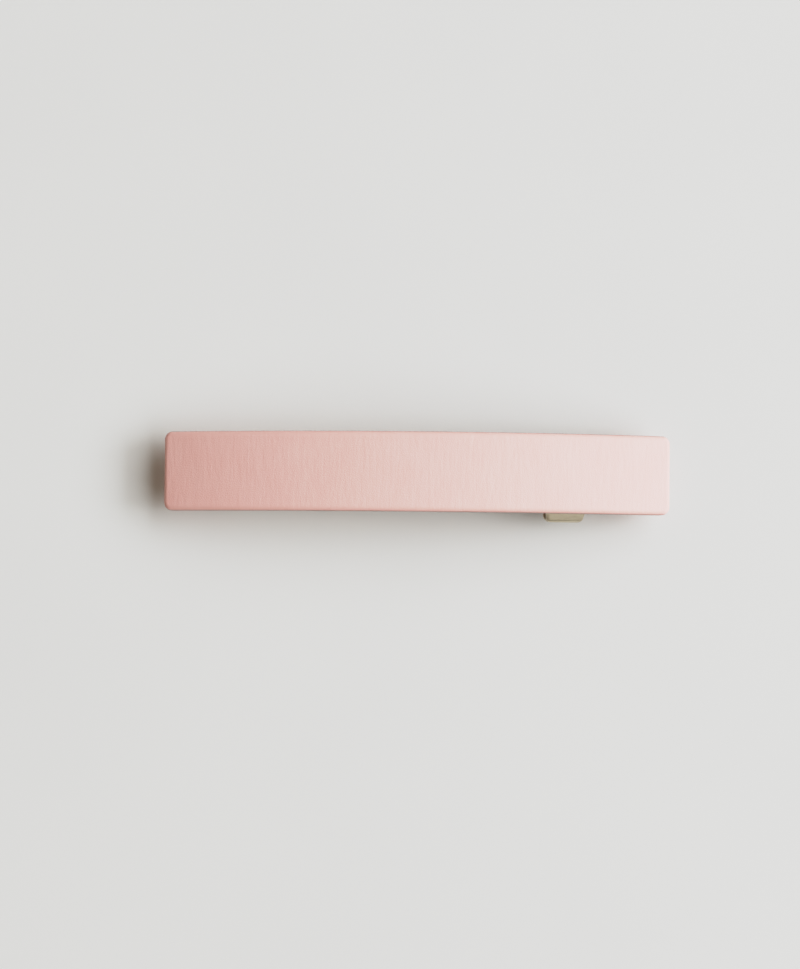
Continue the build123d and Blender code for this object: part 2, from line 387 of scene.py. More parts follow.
class Trees:
    """The geometry trees that the pieces share, each made once."""

    def __init__(self) -> None:
        """Builds the trees."""
        self.laid = self._laid()
        self.sheet = self._sheet()
        self.strip = self._strip()
        self.headed_pin = self._headed_pin()
        self.rivet_row = self._rivet_row()
        self.cross_pin = self._cross_pin()

    @staticmethod
    def _laid() -> bpy.types.NodeTree:
        """A flat mesh laid along a curve: its X runs along the curve, its Z stands off it.

        Returns:
            The geometry tree, used inside those of the sheet and the strip.
        """
        inputs = {
            "Sheet": "Geometry",
            "Path": "Geometry",
            "Across": (0.0, 1.0, 0.0),
            "Start": 0.0,
            "Lift": 0.0,
        }
        g = Group("laid_on_curve", "Geometry", inputs, ["Laid"])
        along, across, height = g.split(g.value("GeometryNodeInputPosition"))
        reading = {"Curves": g["Path"], "Length": along + g["Start"]}
        curve = g.values("GeometryNodeSampleCurve", reading, mode="LENGTH", use_all_curves=True)
        up = g.vector("NORMALIZE", g.vector("CROSS_PRODUCT", curve["Tangent"], g["Across"]))
        place = curve["Position"] + g["Across"] * across + up * (height + g["Lift"])
        return g.give(Laid=g.moved(g["Sheet"], Position=place))

    def _sheet(self) -> bpy.types.NodeTree:
        """A flat sheet laid along the line of a path object.

        Returns:
            The geometry tree.
        """
        inputs = {"Sheet": "Geometry", "Path": "Object", "Across": (0.0, 1.0, 0.0), "Finish": "Material"}
        g = Group("sheet_on_path", "Geometry", inputs, ["Sheet"])
        line = g.values("GeometryNodeObjectInfo", {"Object": g["Path"]})["Geometry"]
        laid = g.use(self.laid, {"Path": g.curve(line), **g.shared("Sheet", "Across")})
        return g.give_mesh(laid["Laid"])

    def _strip(self) -> bpy.types.NodeTree:
        """A flat strip with rounded corners and edges, laid along a path, with the relief of its skin.

        Returns:
            The geometry tree. It stores flat_place, rim and turned on the points.
        """
        inputs = {
            "Path": "Geometry",
            "Length": 83 * MM,
            "Width": 12.7 * MM,
            "Thickness": 2.6 * MM,
            "Corner Radius": 1.3 * MM,
            "Upper Round": 0.8 * MM,
            "Under Round": 0.3 * MM,
            "Steps Along": 500,
            "Steps Across": 40,
            "Steps Through": 12,
            "Sway Depth": 0.0,
            "Sway Size": 9 * MM,
            "Crease Depth": 0.0,
            "Crease Spacing": 0.9 * MM,
            "Crease Stretch": (1.0, 0.12, 0.3),
            "Crease Width": 0.09,
            "Crease End": 0.6,
            "Seed": 3.0,
            "Finish": "Material",
        }
        g = Group("strip_on_path", "Geometry", inputs, ["Strip"])
        radius, seed = g["Corner Radius"], g["Seed"]
        whole = g.join(g["Length"], g["Width"], g["Thickness"])
        steps = {1: g["Steps Along"], 2: g["Steps Across"], 3: g["Steps Through"]}
        block = g.value("GeometryNodeMeshCube", {0: whole, **steps})

        # Plan: a corner square of the block becomes a quarter disc
        in_plan = (1.0, 1.0, 0.0)
        place, half = g.value("GeometryNodeInputPosition"), whole * 0.5
        z, half_z = g.split(place)[2], g.split(half)[2]
        plan = place * in_plan
        inner = half * in_plan - g.join(radius, radius, 0.0)
        core = g.vector("MINIMUM", g.vector("MAXIMUM", plan, -inner), inner)
        off = plan - core
        off_x, off_y, _ = g.split(g.vector("ABSOLUTE", off))
        reach = g.math("MAXIMUM", off_x, off_y)

        # Section: the same for the edges, with one radius above and one below
        height = g.math("ABSOLUTE", z)
        edge = g.lerp(g.math("GREATER_THAN", z, 0.0), g["Under Round"], g["Upper Round"])
        out_part = g.math("MAXIMUM", reach - (radius - edge), 0.0)
        up_part = g.math("MAXIMUM", height - (half_z - edge), 0.0)
        span = g.math("MAXIMUM", g.math("SQRT", out_part * out_part + up_part * up_part), TINY)
        loss = 1.0 - g.math("MAXIMUM", out_part, up_part) / span
        new_reach = reach - out_part * loss
        new_height = (height - up_part * loss) * g.math("SIGN", z)
        flat = core + g.join(0.0, 0.0, new_height) + g.vector("NORMALIZE", off) * new_reach
        room_x, room_y, _ = g.split(inner - g.vector("ABSOLUTE", plan))
        margin = g.math("MAXIMUM", g.math("MINIMUM", room_x, room_y), 0.0)
        kept = [
            ("flat_place", "FLOAT_VECTOR", flat),
            ("rim", "FLOAT", radius - new_reach + margin),
            ("turned", "FLOAT", out_part / span),
        ]
        for name, kind, value in kept:
            store = {0: block, "Name": name, "Value": value}
            block = g.value("GeometryNodeStoreNamedAttribute", store, data_type=kind)
        flat_place = g.stored("flat_place", "FLOAT_VECTOR")
        block = g.moved(block, Position=flat_place)

        # Lay the flat strip along the path, which its upper face follows
        path = g.curve(g["Path"])
        start = g.value("GeometryNodeCurveLength", {0: path}) * 0.5
        lift = half_z - g["Thickness"]
        strip = g.use(self.laid, {"Sheet": block, "Path": path, "Start": start, "Lift": lift})["Laid"]

        # Relief, always inwards: a slow sway everywhere, fine creases across the upper face
        sway = g.noise(flat_place * (1.0 / g["Sway Size"]), 1.0, detail=2.0, seed=seed) * g["Sway Depth"]
        crease_place = flat_place * (1.0 / g["Crease Spacing"]) * g["Crease Stretch"]
        ridge = g.math("ABSOLUTE", g.noise(crease_place, 1.0, detail=3.0, seed=seed) - 0.5)
        crease = g.ramp(ridge, 0.0, g["Crease Width"], 1.0, 0.0) * g["Crease Depth"]
        level = g.ramp(g.stored("turned", "FLOAT"), 0.0, g["Crease End"], 1.0, 0.0)
        upper = g.math("GREATER_THAN", g.split(flat_place)[2], 0.0) * level
        sink = g.value("GeometryNodeInputNormal") * -(sway + crease * upper)
        strip = g.moved(strip, Offset=sink)
        return g.give_mesh(g.value("GeometryNodeSetShadeSmooth", {0: strip}))

    @staticmethod
    def _headed_pin() -> bpy.types.NodeTree:
        """A pin turned about Z: its domed head stands on Z 0 and its shank goes down from there.

        Returns:
            The geometry tree, used inside the other two.
        """
        inputs = {
            "Shank Radius": 0.6 * MM,
            "Shank Length": 1.5 * MM,
            "Head Radius": 1.1 * MM,
            "Dome Height": 0.45 * MM,
            "Rim Height": 0.0,
            "Set Mark": 0.03 * MM,
            "Mark Inside": 0.3,
            "Mark Outside": 0.5,
            "Closed End": True,
            "Dome Steps": 10,
            "Steps Below": 5,
            "Sides": 48,
            "Merge Distance": 1e-7,
        }
        g = Group("headed_pin", "Geometry", inputs, ["Pin"])
        shank, head = g["Shank Radius"], g["Head Radius"]
        dome, steps = g["Dome Height"], g["Dome Steps"]
        columns = g["Sides"] + 1.0
        rows = {"Vertices X": steps + g["Steps Below"], "Vertices Y": columns}
        sheet = g.value("GeometryNodeMeshGrid", rows)
        index = g.value("GeometryNodeInputIndex")
        row = g.math("FLOOR", (index + 0.5) / columns)
        turn = (index - row * columns) * math.tau / g["Sides"]

        # The dome is part of a ball, flattened at its crown by the setting tool
        ball = (head * head + dome * dome) / (dome * 2.0)
        lean = g.math("ARCSINE", head / ball) * (row / steps)
        dome_radius = ball * g.math("SINE", lean)
        fall = ball * (1.0 - g.math("COSINE", lean))
        sunk = g.ramp(dome_radius / head, g["Mark Inside"], g["Mark Outside"], 1.0, 0.0)
        mark = sunk * g["Set Mark"]
        dome_height = g["Rim Height"] + dome - fall - mark

        # Below the dome: rim, seat, shank and shank end
        stage = g.math("MAXIMUM", row - steps, 0.0)
        tail = -g["Shank Length"]
        radius = g.pick(stage, [dome_radius, head, shank, shank, shank * (1.0 - g["Closed End"])])
        height = g.pick(stage, [dome_height, 0.0, 0.0, tail, tail])
        place = g.join(radius * g.math("COSINE", turn), radius * g.math("SINE", turn), height)
        pin = {0: g.moved(sheet, Position=place), "Distance": g["Merge Distance"]}
        return g.give(Pin=g.value("GeometryNodeMergeByDistance", pin))

    def _rivet_row(self) -> bpy.types.NodeTree:
        """Rivets set square to an arch, a step apart along it, each turned its own way.

        Returns:
            The geometry tree.
        """
        inputs = {
            "Host": "Geometry",
            "Count": 2,
            "First Place": 22.5 * MM,
            "Step": 3.4 * MM,
            "Bend Radius": 115 * MM,
            "Bend Centre": (0.0, 0.0, -105.4 * MM),
            "Seat Depth": 0.5 * MM,
            "Shank Radius": 0.6 * MM,
            "Shank Length": 1.2 * MM,
            "Head Radius": 1.1 * MM,
            "Dome Height": 0.45 * MM,
            "Seed": 5,
            "Finish": "Material",
        }
        g = Group("rivet_row", "Geometry", inputs, ["Rivets"])
        row = g.value("GeometryNodeMeshLine", g.shared("Count"))
        turn = (g["First Place"] + g.value("GeometryNodeInputIndex") * g["Step"]) / g["Bend Radius"]
        spoke = g.join(g.math("SINE", turn), 0.0, g.math("COSINE", turn))
        points = g.moved(row, Position=g["Bend Centre"] + spoke * (g["Bend Radius"] - g["Seat Depth"]))
        pin = g.use(self.headed_pin, g.shared("Shank Radius", "Shank Length", "Head Radius", "Dome Height"))
        chance = {"Min": 0.0, "Max": math.tau, "Seed": g["Seed"]}
        spin = g.values("FunctionNodeRandomValue", chance, data_type="FLOAT")["Value"]
        upside_down = {"Axis": (0.0, 1.0, 0.0), "Angle": turn + math.pi}
        lean = g.value("FunctionNodeAxisAngleToRotation", upside_down)
        whirl = g.value("FunctionNodeAxisAngleToRotation", {"Axis": (0.0, 0.0, 1.0), "Angle": spin})
        pose = g.value("FunctionNodeRotateRotation", {0: lean, 1: whirl}, rotation_space="LOCAL")
        rivets = {"Points": points, "Instance": pin["Pin"], "Rotation": pose}
        return g.give_mesh(g.value("GeometryNodeInstanceOnPoints", rivets))

    def _cross_pin(self) -> bpy.types.NodeTree:
        """A pin along Y with a peened head at each end, made of two halves that meet in the middle.

        Returns:
            The geometry tree.
        """
        inputs = {
            "Host": "Geometry",
            "Middle": (0.0, 0.0, 0.0),
            "Grip": 7.5 * MM,
            "Shank Radius": 0.6 * MM,
            "Head Radius": 1.0 * MM,
            "Dome Height": 0.2 * MM,
            "Rim Height": 0.15 * MM,
            "Merge Distance": 1e-6,
            "Finish": "Material",
        }
        g = Group("cross_pin", "Geometry", inputs, ["Pin"])
        half_grip = g["Grip"] * 0.5
        shape = g.shared("Shank Radius", "Head Radius", "Dome Height", "Rim Height")
        pin = g.use(self.headed_pin, {"Shank Length": half_grip, "Closed End": False, **shape})["Pin"]
        halves = g.node("GeometryNodeJoinGeometry")
        for side in (-1.0, 1.0):
            seat = g["Middle"] + g.join(0.0, half_grip * side, 0.0)
            turn = (-side * math.pi / 2, 0.0, 0.0)
            half = g.value("GeometryNodeTransform", {0: pin, "Translation": seat, "Rotation": turn})
            g.fill(halves, {0: half})
        whole = {0: Value(g, halves.outputs[0]), "Distance": g["Merge Distance"]}
        return g.give_mesh(g.value("GeometryNodeMergeByDistance", whole))


# Finishes


class Effects:
    """The shader groups that more than one finish uses. They put out masks and heights from 0 to 1."""

    def __init__(self) -> None:
        """Builds the groups."""
        self.patches = self._patches()
        self.edge_wear = self._edge_wear()
        self.fine_lines = self._fine_lines()
        self.pits = self._pits()

    @staticmethod
    def _patches() -> bpy.types.NodeTree:
        """Soft patches, such as uneven dye or tarnish.

        Returns:
            A group with the output Mask.
        """
        inputs = {"Place": "Vector", "Patch Size": 6.0, "Softness": 0.25, "Seed": 1.0}
        g = Group("soft_patches", "Shader", inputs, ["Mask"])
        cloud = g.noise(g["Place"], 1.0 / g["Patch Size"], detail=3.0, seed=g["Seed"])
        return g.give(Mask=g.ramp(cloud, 0.5 - g["Softness"], g["Softness"] + 0.5))

    @staticmethod
    def _edge_wear() -> bpy.types.NodeTree:
        """Rubbed edges: an edge mask broken up by a noise.

        Returns:
            A group with the output Wear.
        """
        inputs = {
            "Edge": 0.0,
            "Place": "Vector",
            "Patch Size": 0.8,
            "Amount": 0.5,
            "Least": 0.8,
            "Sway": 0.6,
            "Softness": 0.16,
            "Seed": 2.0,
        }
        g = Group("edge_wear", "Shader", inputs, ["Wear"])
        cloud = g.noise(g["Place"], 1.0 / g["Patch Size"], detail=4.0, seed=g["Seed"])
        start = g["Least"] - g["Amount"] * g["Sway"]
        broken = g.ramp(cloud, start, start + g["Softness"])
        return g.give(Wear=g.math("MULTIPLY", broken, g["Edge"], clamp=True))

    @staticmethod
    def _fine_lines() -> bpy.types.NodeTree:
        """Fine drawn-out lines, such as brushing on metal or the stretch lines of a hide.

        Returns:
            A group with the outputs Height and Shade.
        """
        inputs = {"Place": "Vector", "Line Size": (9.0, 0.06, 0.06), "Detail": 3.0, "Seed": 4.0}
        g = Group("fine_lines", "Shader", inputs, ["Height", "Shade"])
        broad_scale, other_seed = 0.22, 7.0
        fine_share, broad_share, dark, light = 0.6, 0.4, 0.3, 0.7
        drawn = g["Place"] / g["Line Size"]
        fine = g.noise(drawn, 1.0, detail=g["Detail"], seed=g["Seed"])
        broad = g.noise(drawn, broad_scale, detail=2.0, seed=g["Seed"] + other_seed)
        return g.give(Height=fine, Shade=g.ramp(fine * fine_share + broad * broad_share, dark, light))

    @staticmethod
    def _pits() -> bpy.types.NodeTree:
        """Small cells with a sunk middle: the pores of a hide, or pits in plating.

        Returns:
            A group with the outputs Height and Pores.
        """
        inputs = {"Place": "Vector", "Cell Size": (0.3, 0.3, 0.3), "Pore Width": 0.2}
        g = Group("small_pits", "Shader", inputs, ["Height", "Pores"])
        seam_width, pore_depth, shake = 0.25, 0.8, 0.5
        place = g["Place"] / g["Cell Size"]
        blur = {"Vector": place, "Scale": 1.7, "Detail": 1.0}
        nudge = g.values("ShaderNodeTexNoise", blur, noise_dimensions="3D")["Color"]
        cells = {"Vector": place + nudge * shake, "Scale": 1.0}
        seams = g.values("ShaderNodeTexVoronoi", cells, feature="DISTANCE_TO_EDGE")["Distance"]
        middles = g.values("ShaderNodeTexVoronoi", cells, feature="F1")["Distance"]
        pores = g.ramp(middles, 0.0, g["Pore Width"], 1.0, 0.0)
        pebble = g.ramp(seams, 0.0, seam_width)
        return g.give(Height=g.math("SUBTRACT", pebble, pores * pore_depth, clamp=True), Pores=pores)


class Coat(Wiring):
    """A material with one Principled BSDF."""

    def __init__(self, name: str) -> None:
        """Makes the material.

        Args:
            name: its name.
        """
        self.material = bpy.data.materials.new(name)
        self.material.use_nodes = True
        super().__init__(self.material.node_tree)

    def place(self) -> Value:
        """The place on the piece, in millimetres."""
        return self.values("ShaderNodeTexCoord")["Object"] * (1 / MM)

    def stored(self, name: str, output: str) -> Value:
        """An attribute of the mesh."""
        return self.values("ShaderNodeAttribute", attribute_name=name)[output]

    def bump(self, relief: Value) -> Value:
        """The normal of a relief in millimetres."""
        return self.value("ShaderNodeBump", {"Height": relief, "Strength": 1.0, "Distance": MM})

    def finish(self, inputs: Inputs) -> bpy.types.Material:
        """Fills the shader's inputs and gives the material."""
        self.fill(self.tree.nodes["Principled BSDF"], inputs)
        return self.material


@dataclass(frozen=True)
class DyedLeather:
    """Smooth leather dyed pale pink, with fibrous burnished edges painted dark as their shade, and a raw
    flesh side.

    Colours are linear, and a share says how much of a tint shows. A band is where one kind of
    surface gives way to another: by depth, by nearness to the rim, or by how far an edge has
    turned from level (0) to upright (1).
    """

    face: Colour = (0.96, 0.582, 0.552, 1.0)
    deep: Colour = (0.945, 0.542, 0.512, 1.0)
    rim: Colour = (0.93, 0.535, 0.48, 1.0)
    # The wall colour is painted shade: the side wall is the same pink leather, darkened here as it looks in
    # shade.
    wall: Colour = (0.33, 0.20, 0.18, 1.0)
    flesh: Colour = (0.70, 0.46, 0.36, 1.0)
    under_band: Range = (-0.65, -1.3)
    wall_band: Range = (0.8, 0.98)
    flesh_band: Range = (0.5, 0.8)
    rim_band: Range = (0.1, 1.1)
    rim_share: float = 0.10
    patch_size: float = 5.0
    patch_share: float = 0.55
    line_size: Triple = (0.32, 3.6, 1.2)
    line_share: float = 0.45
    line_height: float = 0.013
    pore_cell: Triple = (0.24, 0.36, 0.3)
    pore_share: float = 0.16
    pore_height: float = 0.012
    wear_share: float = 0.14
    fibre_size: Triple = (1.6, 1.6, 0.09)
    fibre_share: float = 0.4
    fibre_height: float = 0.03
    nap_scale: float = 5.5
    nap_height: float = 0.09
    face_roughness: Range = (0.56, 0.5)
    wall_roughness: float = 0.36
    flesh_roughness: float = 0.92

    def material(self, effects: Effects) -> bpy.types.Material:
        """Builds the material.

        Args:
            effects: the shared groups.

        Returns:
            The leather.
        """
        w = Coat("dyed_leather")
        place = w.stored("flat_place", "Vector") * (1 / MM)
        here = {"Place": place}
        turned = w.stored("turned", "Fac")
        dye = {**here, "Patch Size": self.patch_size, "Softness": 0.3, "Seed": 1.0}
        mottle = w.use(effects.patches, dye)["Mask"]
        lines = w.use(effects.fine_lines, {**here, "Line Size": self.line_size, "Detail": 3.0, "Seed": 4.0})
        pits = w.use(effects.pits, {**here, "Cell Size": self.pore_cell, "Pore Width": 0.22})
        fibres = w.use(effects.fine_lines, {**here, "Line Size": self.fibre_size, "Detail": 4.0, "Seed": 9.0})
        nap = w.noise(place, self.nap_scale, detail=5.0, seed=11.0)

        # Where each kind of surface is
        rim_band = w.ramp(w.stored("rim", "Fac") * (1 / MM), *self.rim_band, 1.0, 0.0)
        rubbed = {**here, "Edge": rim_band, "Patch Size": 2.2, "Amount": 0.75, "Seed": 2.0}
        worn = w.use(effects.edge_wear, rubbed)["Wear"]
        wall = w.ramp(turned, *self.wall_band)
        under = w.ramp(w.split(place)[2], *self.under_band)
        flesh = under * w.ramp(turned, *self.flesh_band, 1.0, 0.0)

        shade = mottle * self.patch_share + lines["Shade"] * self.line_share
        colour = w.blend(shade, self.deep, self.face)
        tints = [(pits["Pores"], self.pore_share), (rim_band, self.rim_share), (worn, self.wear_share)]
        for mask, share in tints:
            colour = w.blend(mask * share, colour, self.rim)
        # Painted shade: the side wall takes the dark wall colour, streaked with burnished fibres.
        burnished_with_painted_shade = w.blend(fibres["Shade"] * self.fibre_share, self.wall, self.deep)
        colour = w.blend(wall, colour, burnished_with_painted_shade)
        colour = w.blend(flesh, colour, w.blend(nap, self.flesh, self.deep))

        roughness = w.lerp(wall, w.lerp(lines["Shade"], *self.face_roughness), self.wall_roughness)
        skin = pits["Height"] * self.pore_height + lines["Height"] * self.line_height
        edge = fibres["Height"] * self.fibre_height
        relief = w.lerp(flesh, w.lerp(wall, skin, edge), nap * self.nap_height)
        return w.finish(
            {
                "Base Color": colour,
                "Roughness": w.lerp(flesh, roughness, self.flesh_roughness),
                "Normal": w.bump(relief),
                "Specular IOR Level": 0.26,
                "Sheen Weight": 0.06,
                "Sheen Roughness": 0.5,
            }
        )


@dataclass(frozen=True)
class PlatedSteel:
    """Spring steel with a pale brass plating: brushed, a little tarnished, rubbed bright on its edges."""

    name: str
    way: BrushWay
    seed: float
    face: Colour = (0.61, 0.55, 0.435, 1.0)
    dull: Colour = (0.49, 0.42, 0.305, 1.0)
    bright: Colour = (0.78, 0.735, 0.64, 1.0)
    tarnish_share: float = 0.35
    brush_share: float = 0.12
    pit_share: float = 0.4
    wear: float = 0.6
    roughness: Range = (0.32, 0.44)
    tarnish_roughness: float = 0.08
    worn_roughness: float = 0.3
    brush_height: float = 0.0025
    pit_depth: float = 0.006

    def material(self, effects: Effects) -> bpy.types.Material:
        """Builds the material.

        Args:
            effects: the shared groups.

        Returns:
            The plated steel.
        """
        w = Coat(self.name)
        here = {"Place": w.place()}
        cloudy = {**here, "Patch Size": 4.0, "Softness": 0.2, "Seed": self.seed}
        tarnish = w.use(effects.patches, cloudy)["Mask"]
        drawn = {**here, "Line Size": self.way.value, "Detail": 3.0, "Seed": self.seed + 4.0}
        brushed = w.use(effects.fine_lines, drawn)
        pits = w.use(effects.pits, {**here, "Cell Size": (0.9, 0.9, 0.9), "Pore Width": 0.07})["Pores"]
        rubbed = {**here, "Edge": w.stored("edge", "Fac"), "Patch Size": 0.9, "Amount": self.wear}
        worn = w.use(effects.edge_wear, {**rubbed, "Seed": self.seed})["Wear"]
        colour = w.blend(tarnish * self.tarnish_share, self.face, self.dull)
        colour = w.blend(brushed["Shade"] * self.brush_share, colour, self.bright)
        colour = w.blend(pits * self.pit_share, colour, self.dull)
        rough = w.lerp(brushed["Shade"], *self.roughness) + tarnish * self.tarnish_roughness
        relief = brushed["Height"] * self.brush_height - pits * self.pit_depth
        return w.finish(
            {
                "Base Color": w.blend(worn, colour, self.bright),
                "Roughness": w.lerp(worn, rough, self.worn_roughness),
                "Normal": w.bump(relief),
                "Metallic": 1.0,
            }
        )


@dataclass(frozen=True)
class PaleFloor:
    """Plain pale floor with hardly any pattern."""

    light: Colour = (0.80, 0.80, 0.795, 1.0)
    dark: Colour = (0.77, 0.77, 0.77, 1.0)
    patch_size: float = 45.0

    def material(self, effects: Effects) -> bpy.types.Material:
        """Builds the material.

        Args:
            effects: the shared groups.

        Returns:
            The floor's finish.
        """
        w = Coat("pale_floor")
        cloudy = {"Place": w.place(), "Patch Size": self.patch_size, "Softness": 0.35, "Seed": 6.0}
        colour = w.blend(w.use(effects.patches, cloudy)["Mask"], self.light, self.dark)
        return w.finish({"Base Color": colour, "Roughness": 0.55, "Specular IOR Level": 0.25})


# Lines and shapes


def eased_corner(before: Vector, corner: Vector, after: Vector, radius: float) -> list[Vector]:
    """An arc in place of a corner.

    Args:
        before: a point on the line into the corner.
        corner: the corner.
        after: a point on the line out of it.
        radius: the arc's radius; 0 keeps the corner.

    Returns:
        The arc's points, in order.
    """
    if radius <= 0.0:
        return [corner]
    inward, outward = (before - corner).normalized(), (after - corner).normalized()
    half = inward.angle(outward) / 2
    centre = corner + (inward + outward).normalized() * (radius / math.sin(half))
    start = corner + inward * (radius / math.tan(half)) - centre
    end = corner + outward * (radius / math.tan(half)) - centre
    sweep = start.angle(end)
    count = max(2, math.ceil(math.degrees(sweep) / ARC_STEP))
    axis = start.cross(end).normalized()
    return [centre + Matrix.Rotation(sweep * i / count, 3, axis) @ start for i in range(count + 1)]


def eased_line(corners: Sequence[tuple[Vector, float]], closed: bool) -> list[Vector]:
    """A line through corners that are each rounded by their own radius.

    Args:
        corners: each corner with its radius.
        closed: whether the line returns to its start.

    Returns:
        Its points, in order.
    """
    count = len(corners)
    points: list[Vector] = []
    for i, (corner, radius) in enumerate(corners):
        open_end = not closed and i in (0, count - 1)
        before, after = corners[i - 1][0], corners[(i + 1) % count][0]
        points += [corner] if open_end else eased_corner(before, corner, after, radius)
    return points


def mirrored_loop(side: Sequence[Triple]) -> list[Vector]:
    """A closed flat outline from one side's corners (along, across, radius) and their mirror images."""
    corners = [*side, *((x, -y, radius) for x, y, radius in reversed(side))]
    return eased_line([(Vector((x, y, 0.0)), radius) for x, y, radius in corners], closed=True)


def circle(x: float, y: float, radius: float, sides: int = 40) -> list[Vector]:
    """The points of a round hole at a place along and across a flat sheet."""
    turns = [math.tau * i / sides for i in range(sides)]
    return [Vector((x + radius * math.cos(t), y + radius * math.sin(t), 0.0)) for t in turns]


def tangent_arc(start: Vector, direction: Vector, end: Vector, count: int) -> list[Vector]:
    """An arc that leaves its start in a direction and reaches its end.

    Args:
        start: its first point.
        direction: the way it leaves.
        end: its last point.
        count: how many pieces it has.

    Returns:
        Its points, in order.
    """
    chord = end - start
    ahead = direction.normalized()
    side = (chord - ahead * chord.dot(ahead)).normalized()
    radius = chord.length_squared / (2 * side.dot(chord))
    turns = [2 * ahead.angle(chord) * i / count for i in range(count + 1)]
    return [start + ahead * (radius * math.sin(t)) + side * (radius * (1 - math.cos(t))) for t in turns]


def clear_of(corner: Vector, reach: float, points: Sequence[Vector]) -> list[Vector]:
    """The points of a line that lie further from a corner than a reach."""
    return [point for point in points if (point - corner).length > reach]


def length_of(path: Sequence[Vector]) -> float:
    """The length of a line through points."""
    return sum((b - a).length for a, b in zip(path, path[1:]))


@dataclass(frozen=True)
class Arch:
    """The bend of the clip's plate, and what the pieces under it share: their places and holes."""

    radius: float = 115.0 * MM
    centre: float = -105.4 * MM
    middle_line: float = -0.175 * MM
    pin_place: float = -29.5 * MM
    pin_depth: float = 3.9668 * MM
    catch_place: float = 24.2 * MM
    pin_hole: float = 0.62 * MM

    def up(self, along: float) -> Vector:
        """The direction square to the plate, upwards, at a place along it."""
        turn = along / self.radius
        return Vector((math.sin(turn), 0.0, math.cos(turn)))

    def ahead(self, along: float) -> Vector:
        """The direction along the plate at a place along it."""
        turn = along / self.radius
        return Vector((math.cos(turn), 0.0, -math.sin(turn)))

    def point(self, along: float, depth: float = 0.0, ahead: float = 0.0) -> Vector:
        """A point at a depth under a place along the plate's underside, and ahead of it from there."""
        centre = Vector((0.0, self.middle_line, self.centre))
        return centre + self.up(along) * (self.radius - depth) + self.ahead(along) * ahead

    def pin(self) -> Vector:
        """The middle of the hinge pin."""
        return self.point(self.pin_place, self.pin_depth)


@dataclass(frozen=True)
class FlatSheet:
    """A sheet as it is stamped, before it is bent: X along it, Y across it, Z 0 in its middle."""

    loops: Sequence[Sequence[Vector]]
    thickness: float
    edge: float
    same_place: float = 0.004 * MM
    straight: float = math.radians(0.5)
    rim_angle: float = math.radians(70)

    def mesh(self, name: str, cuts: Sequence[float] = ()) -> bpy.types.Mesh:
        """Makes the flat sheet with its cut edges broken.

        Args:
            name: the mesh's name.
            cuts: places along the sheet where it may bend.

        Returns:
            The mesh; the broken edges' faces have 1 in the attribute edge.
        """
        work = bmesh.new()
        layer = work.faces.layers.float.new("edge")
        for loop in self.loops:
            verts = [work.verts.new(point) for point in loop]
            for a, b in zip(verts, verts[1:] + verts[:1]):
                work.edges.new((a, b))
        near = self.same_place
        bmesh.ops.remove_doubles(work, verts=work.verts, dist=near)
        bmesh.ops.triangle_fill(work, edges=work.edges, use_beauty=True, normal=(0.0, 0.0, 1.0))
        bmesh.ops.dissolve_limit(work, angle_limit=self.straight, verts=work.verts, edges=work.edges)
        for cut in cuts:
            whole = [*work.verts, *work.edges, *work.faces]
            bmesh.ops.bisect_plane(work, geom=whole, dist=near, plane_co=(cut, 0, 0), plane_no=(1, 0, 0))
        raised = bmesh.ops.extrude_face_region(work, geom=list(work.faces))["geom"]
        raised_verts = [item for item in raised if isinstance(item, bmesh.types.BMVert)]
        bmesh.ops.translate(work, verts=raised_verts, vec=(0.0, 0.0, self.thickness))
        bmesh.ops.recalc_face_normals(work, faces=work.faces)
        rims = [e for e in work.edges if len(e.link_faces) == 2 and e.calc_face_angle(0.0) > self.rim_angle]
        broken = bmesh.ops.bevel(
            work,
            geom=rims,
            offset=self.edge,
            offset_type="OFFSET",
            segments=3,
            profile=0.5,
            affect="EDGES",
            clamp_overlap=False,
            loop_slide=True,
        )
        for face in broken["faces"]:
            face[layer] = 1.0
        bmesh.ops.translate(work, verts=work.verts, vec=(0.0, 0.0, -self.thickness / 2))
        mesh = bpy.data.meshes.new(name)
        work.to_mesh(mesh)
        work.free()
        return mesh


# Pieces


def settle(obj: bpy.types.Object, body: Body, slot: Slot, *nodes: str) -> bpy.types.Object:
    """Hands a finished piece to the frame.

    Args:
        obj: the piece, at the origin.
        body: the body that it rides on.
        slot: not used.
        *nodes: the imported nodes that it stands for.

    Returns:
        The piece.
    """
    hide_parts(*nodes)
    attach(obj, body.value)
    obj.data.update()
    LOG.info("%s: %d faces, rides on %s", obj.name, len(obj.data.polygons), body.value)
    return obj


def facing_out(obj: bpy.types.Object, crease: float = 35.0) -> bpy.types.Object:
    """Turns a closed mesh's faces outwards, shades it smooth and keeps its creases.

    Args:
        obj: the piece.
        crease: the angle in degrees from which an edge stays sharp.

    Returns:
        The piece.
    """
    work = bmesh.new()
    work.from_mesh(obj.data)
    bmesh.ops.recalc_face_normals(work, faces=work.faces)
    work.to_mesh(obj.data)
    work.free()
    obj.data.shade_smooth()
    obj.data.set_sharp_from_angle(angle=math.radians(crease))
    return obj


